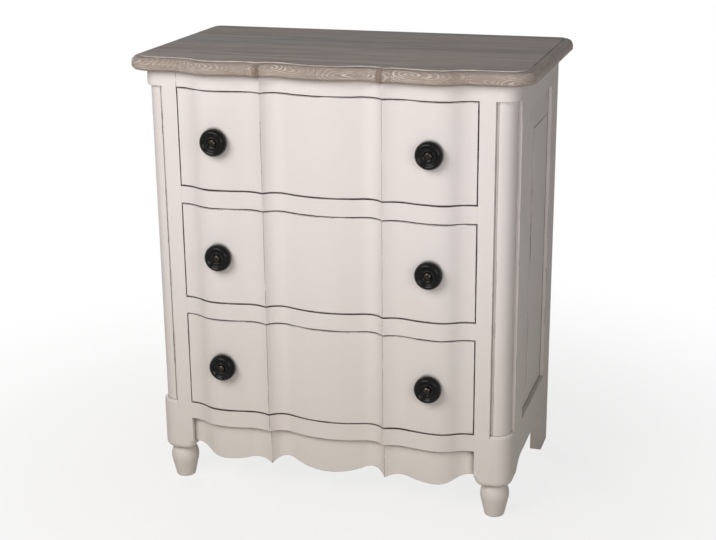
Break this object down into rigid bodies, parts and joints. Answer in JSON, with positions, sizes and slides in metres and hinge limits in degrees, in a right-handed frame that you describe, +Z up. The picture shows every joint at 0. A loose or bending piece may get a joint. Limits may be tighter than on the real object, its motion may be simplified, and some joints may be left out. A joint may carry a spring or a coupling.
{
  "type": "chest of drawers",
  "caption": "Narrow chest of drawers with a serpentine front, turned front feet, quarter columns, a weathered wooden top and round black knobs.",
  "frame": {"origin": "on the floor under the centre of the chest's box", "axes": "+Z up, the drawers face -Y, +X to the right as seen from the front"},
  "size_m": [0.67, 0.4029, 0.75],
  "materials": {
    "cream_paint": "satin off-white paint, rubbed through at the edges",
    "weathered_wood": "grey-brown weathered boards, matt",
    "bare_wood": "unpainted, lightly sealed",
    "knob_black": "glossy black glaze",
    "bolt_metal": "dull plated steel"
  },
  "bodies": {
    "carcass": {"top_board": "weathered_wood", "front_post_left": "cream_paint", "front_post_right": "cream_paint", "rear_post_left": "cream_paint", "rear_post_right": "cream_paint", "quarter_column_left": "cream_paint", "quarter_column_right": "cream_paint", "front_foot_left": "cream_paint", "front_foot_right": "cream_paint", "bottom_front_rail": "cream_paint", "lower_divider_rail": "cream_paint", "upper_divider_rail": "cream_paint", "top_front_rail": "cream_paint", "front_apron": "cream_paint", "side_front_stile_left": "cream_paint", "side_front_stile_right": "cream_paint", "side_bottom_rail_left": "cream_paint", "side_bottom_rail_right": "cream_paint", "side_top_rail_left": "cream_paint", "side_top_rail_right": "cream_paint", "side_panel_left": "cream_paint", "side_panel_right": "cream_paint", "back_top_rail": "bare_wood", "back_bottom_rail": "bare_wood", "back_panel": "bare_wood", "lower_runner_left": "bare_wood", "lower_runner_right": "bare_wood", "middle_runner_left": "bare_wood", "middle_runner_right": "bare_wood", "upper_runner_left": "bare_wood", "upper_runner_right": "bare_wood", "kicker_left": "bare_wood", "kicker_right": "bare_wood", "drawer_stops": "bare_wood"},
    "top_drawer": {"top_drawer_front": "cream_paint", "top_drawer_side_left": "bare_wood", "top_drawer_side_right": "bare_wood", "top_drawer_back": "bare_wood", "top_drawer_bottom": "bare_wood", "top_drawer_knob_left": "knob_black", "top_drawer_knob_right": "knob_black", "top_drawer_knob_bolts": "bolt_metal"},
    "middle_drawer": {"middle_drawer_front": "cream_paint", "middle_drawer_side_left": "bare_wood", "middle_drawer_side_right": "bare_wood", "middle_drawer_back": "bare_wood", "middle_drawer_bottom": "bare_wood", "middle_drawer_knob_left": "knob_black", "middle_drawer_knob_right": "knob_black", "middle_drawer_knob_bolts": "bolt_metal"},
    "bottom_drawer": {"bottom_drawer_front": "cream_paint", "bottom_drawer_side_left": "bare_wood", "bottom_drawer_side_right": "bare_wood", "bottom_drawer_back": "bare_wood", "bottom_drawer_bottom": "bare_wood", "bottom_drawer_knob_left": "knob_black", "bottom_drawer_knob_right": "knob_black", "bottom_drawer_knob_bolts": "bolt_metal"}
  },
  "joints": [
    {"name": "top_drawer_slide", "type": "slide", "parent": "carcass", "child": "top_drawer", "axis": [0, -1, 0], "range_m": [0, 0.26]},
    {"name": "middle_drawer_slide", "type": "slide", "parent": "carcass", "child": "middle_drawer", "axis": [0, -1, 0], "range_m": [0, 0.26]},
    {"name": "bottom_drawer_slide", "type": "slide", "parent": "carcass", "child": "bottom_drawer", "axis": [0, -1, 0], "range_m": [0, 0.26]}
  ]
}
